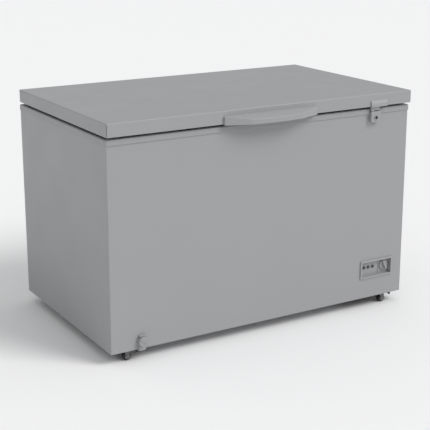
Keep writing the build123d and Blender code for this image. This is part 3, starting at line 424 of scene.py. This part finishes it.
def gasket_profile(width, height):
    """Half of the section is the dart that clips to the lid, half the bellows with its magnet tube.

    The section runs from the lid (v = 0) down to the rim (v = -height).
    """
    w, h = width / 2, height
    return [
        (-w, 0), (w, 0), (w, -0.12 * h), (0.62 * w, -0.22 * h), (0.55 * w, -0.36 * h),
        (0.92 * w, -0.50 * h), (0.96 * w, -0.62 * h), (0.70 * w, -0.72 * h),
        (0.94 * w, -0.80 * h), (0.90 * w, -0.96 * h), (0.60 * w, -h),
        (-0.60 * w, -h), (-0.90 * w, -0.96 * h), (-0.94 * w, -0.80 * h),
        (-0.70 * w, -0.72 * h), (-0.96 * w, -0.62 * h), (-0.92 * w, -0.50 * h),
        (-0.55 * w, -0.36 * h), (-0.62 * w, -0.22 * h), (-w, -0.12 * h),
    ]


def gasket(surface):
    """The magnetic seal round the lid, mitred with soft corners."""
    node = "lid_gasket"
    low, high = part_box(node)
    inner_x = (high.x - low.x) / 2 - GASKET_WIDTH / 2 - GASKET_CORNER
    inner_y = (high.y - low.y) / 2 - GASKET_WIDTH / 2 - GASKET_CORNER
    middle = Vector(((low.x + high.x) / 2, (low.y + high.y) / 2, high.z))
    path, frames = [], []
    for quarter in range(4):
        start = quarter * math.pi / 2
        sign_x = 1 if quarter in (0, 3) else -1
        sign_y = 1 if quarter in (0, 1) else -1
        for i in range(GASKET_CORNER_STEPS + 1):
            angle = start + math.pi / 2 * i / GASKET_CORNER_STEPS
            outward = Vector((math.cos(angle), math.sin(angle), 0))
            centre = middle + Vector((sign_x * inner_x, sign_y * inner_y, 0))
            path.append(centre + outward * GASKET_CORNER)
            frames.append((outward, Vector((0, 0, 1))))
    bm = bmesh.new()
    swept(bm, path, gasket_profile(GASKET_WIDTH, high.z - low.z), frames, closed=True)
    mesh = mesh_from(bm, "lid_seal_bellows", smooth=False)
    new_piece("lid_seal_bellows", mesh, body_of_node(node), surface, [node])


# ---------------------------------------------------------------- wire basket

WIRE = 1.75 * MM             # radius of the mesh's wires
WIRE_BEND = 12 * MM
WELD = 1.7 * WIRE            # centre distance of two wires that cross
LONG_WIRES, CROSS_WIRES = 8, 17
LONG_MARGIN = 22 * MM        # first and last long wire, in from the basket's ends
CROSS_MARGIN = 24 * MM


def bent_run(points, bend, steps=5):
    """Points and directions along straight runs joined by arcs."""
    path = [points[0]]
    ways = [(points[1] - points[0]).normalized()]
    for before, corner, after in zip(points, points[1:], points[2:]):
        inward, outward = (corner - before).normalized(), (after - corner).normalized()
        centre = corner - inward * bend + outward * bend
        for i in range(steps + 1):
            turn = math.pi / 2 * i / steps
            path.append(centre + inward * bend * math.sin(turn) - outward * bend * math.cos(turn))
            ways.append(inward * math.cos(turn) + outward * math.sin(turn))
    path.append(points[-1])
    ways.append((points[-1] - points[-2]).normalized())
    return path, ways


def wire(bm, points, normal, closed=False):
    """A round wire whose bends all lie in one plane."""
    path, ways = bent_run(points, WIRE_BEND)
    if closed:
        path, ways = path[:-1], ways[:-1]
    frames = [(normal, way.cross(normal)) for way in ways]
    swept(bm, path, circle_profile(WIRE, 8), frames, closed)


def basket_wires(surface):
    """The basket's round wires, in the places of the CAD mesh's faceted ones."""
    low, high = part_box("basket_mesh")
    x0, x1, y0, y1 = low.x + WIRE, high.x - WIRE, low.y + WIRE, high.y - WIRE
    base, top = low.z + WIRE, high.z
    bm = bmesh.new()
    for i in range(LONG_WIRES):
        x = x0 + LONG_MARGIN + i * (x1 - x0 - 2 * LONG_MARGIN) / (LONG_WIRES - 1)
        corners = [(x, y0, top), (x, y0, base), (x, y1, base), (x, y1, top)]
        wire(bm, [Vector(c) for c in corners], Vector((1, 0, 0)))
    for i in range(CROSS_WIRES):
        y = y0 + CROSS_MARGIN + i * (y1 - y0 - 2 * CROSS_MARGIN) / (CROSS_WIRES - 1)
        corners = [(x0, y, top), (x0, y, base + WELD), (x1, y, base + WELD), (x1, y, top)]
        wire(bm, [Vector(c) for c in corners], Vector((0, 1, 0)))
    for level in (1, 2):
        z = base + level * (top - base) / 3
        left, right, near, far = x0 + WELD, x1 - WELD, y0 + WELD, y1 - WELD
        middle = (left + right) / 2
        corners = [(middle, near, z), (right, near, z), (right, far, z), (left, far, z),
                   (left, near, z), (middle, near, z)]
        wire(bm, [Vector(c) for c in corners], Vector((0, 0, 1)), closed=True)
    mesh = mesh_from(bm, "basket_wires")
    body = body_of_node("basket_mesh")
    new_piece("basket_wires", mesh, body, surface, ["basket_mesh"])


# ---------------------------------------------------------------- lid corner joints

SEAM_WIDTH = 1.3 * MM
SEAM_PROUD = 0.15 * MM
SEAM_LOW = 1 * MM            # kept clear of the lid's lower and rounded upper edges
SEAM_HIGH = 5 * MM
LID_CORNER = 4 * MM          # radius of the lid's upright corners


def lid_corner_seams(surface):
    """Fine dark joints down the front corners, where the lid's folded sheet meets itself."""
    low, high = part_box("lid_skin")
    inset = LID_CORNER * (1 - math.sqrt(0.5))
    height = high.z - low.z - SEAM_LOW - SEAM_HIGH
    size = Matrix.Diagonal((SEAM_WIDTH, 2 * SEAM_PROUD, height, 1))
    bm = bmesh.new()
    for side in (-1, 1):
        edge = low.x if side < 0 else high.x
        place = Vector((edge - side * inset, low.y + inset, low.z + SEAM_LOW + height / 2))
        turned = Matrix.Rotation(side * math.pi / 4, 4, "Z")
        bmesh.ops.create_cube(bm, size=1, matrix=Matrix.Translation(place) @ turned @ size)
    mesh = mesh_from(bm, "lid_corner_seams", smooth=False)
    new_piece("lid_corner_seams", mesh, body_of_node("lid_skin"), surface)


# ---------------------------------------------------------------- printed marks on the panel

MARK_PROUD = 0.12 * MM
PANEL_DEPTH = 18 * MM        # the panel's frame to the floor of its recess


def slab_on_front(bm, x, y, z, width, height, turn=0.0):
    """A thin mark on a wall that faces the front: centred at x, z, standing proud of y."""
    turned = Matrix.Rotation(turn, 4, "Y")
    size = Matrix.Diagonal((width, 2 * MARK_PROUD, height, 1))
    bmesh.ops.create_cube(bm, size=1, matrix=Matrix.Translation((x, y, z)) @ turned @ size)


def dial_marks(surface):
    """Seven ticks that grow round the thermostat knob, for colder settings."""
    low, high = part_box("thermostat_knob")
    centre_x, centre_z = (low.x + high.x) / 2, (low.z + high.z) / 2
    floor_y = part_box("control_bezel")[0].y + PANEL_DEPTH
    bm = bmesh.new()
    for i in range(7):
        angle = math.radians(-120 + 40 * i)
        radius = (high.x - low.x) / 2 + 2.6 * MM
        x = centre_x + radius * math.sin(angle)
        z = centre_z + radius * math.cos(angle)
        slab_on_front(bm, x, floor_y, z, (0.5 + 0.12 * i) * MM, 2.4 * MM, angle)
    mesh = mesh_from(bm, "thermostat_scale", smooth=False)
    new_piece("thermostat_scale", mesh, body_of_node("control_bezel"), surface)


# ---------------------------------------------------------------- floor, lights and camera

def matt_floor():
    """A plain pale floor that is much larger than the view."""
    bm = bmesh.new()
    bmesh.ops.create_grid(bm, x_segments=1, y_segments=1, size=40)
    floor = bpy.data.objects.new("floor", mesh_from(bm, "floor", smooth=False))
    bpy.context.scene.collection.objects.link(floor)
    material = bpy.data.materials.new("pale_floor")
    material.use_nodes = True
    shader = material.node_tree.nodes["Principled BSDF"]
    shader.inputs["Base Color"].default_value = (0.95, 0.95, 0.95, 1)
    shader.inputs["Roughness"].default_value = 0.9
    shader.inputs["Specular IOR Level"].default_value = 0.1
    floor.data.materials.append(material)


def sun(name, azimuth, elevation, strength, softness):
    """A distant softbox: azimuth 0 is in front, 90 to the right of the freezer."""
    data = bpy.data.lights.new(name, "SUN")
    data.energy = strength
    data.angle = math.radians(softness)
    light = bpy.data.objects.new(name, data)
    level = math.cos(math.radians(elevation))
    towards = Vector((
        math.sin(math.radians(azimuth)) * level,
        -math.cos(math.radians(azimuth)) * level,
        math.sin(math.radians(elevation)),
    ))
    light.rotation_euler = towards.to_track_quat("Z", "Y").to_euler()
    bpy.context.scene.collection.objects.link(light)


def sky(horizon, zenith):
    """White studio walls that are dimmer at the horizon than overhead."""
    world = bpy.data.worlds.new("studio")
    bpy.context.scene.world = world
    world.use_nodes = True
    tree = world.node_tree
    place = tree.nodes.new("ShaderNodeTexCoord")
    split = tree.nodes.new("ShaderNodeSeparateXYZ")
    ramp = tree.nodes.new("ShaderNodeMapRange")
    ramp.inputs["To Min"].default_value = horizon
    ramp.inputs["To Max"].default_value = zenith
    tree.links.new(place.outputs["Generated"], split.inputs["Vector"])
    tree.links.new(split.outputs["Z"], ramp.inputs["Value"])
    tree.links.new(ramp.outputs["Result"], tree.nodes["Background"].inputs["Strength"])
    tree.nodes["Background"].inputs["Color"].default_value = (0.985, 0.99, 1.0, 1)


def studio():
    """Soft light from the upper right of the front, with even light from the walls."""
    sky(0.43, 0.70)
    sun("key", 38, 43, 1.62, 28)
    bpy.context.scene.view_settings.view_transform = "Standard"


CAMERA_PLACE = Vector((-2.104, -3.5165, 1.550))
CAMERA_YAW = math.radians(30.80)       # from +Y towards +X
CAMERA_PITCH = math.radians(15.09)     # below the horizon


def camera():
    data = bpy.data.cameras.new("camera")
    data.sensor_width = 36
    data.lens = 91.6
    data.shift_y = -0.05
    data.clip_end = 100
    view = bpy.data.objects.new("camera", data)
    view.location = CAMERA_PLACE
    view.rotation_euler = (math.pi / 2 - CAMERA_PITCH, 0, -CAMERA_YAW)
    bpy.context.scene.collection.objects.link(view)
    bpy.context.scene.camera = view


# ---------------------------------------------------------------- the whole scene

camera()
studio()
matt_floor()
surfaces = make_surfaces()
finish_cad_nodes(surfaces)
for side in ("left", "right"):
    hinge_spring(side, surfaces["spring_steel"])
gasket(surfaces["gasket_rubber"])
basket_wires(surfaces["basket_wire"])
lid_corner_seams(surfaces["gasket_rubber"])
dial_marks(surfaces["black_plastic"])
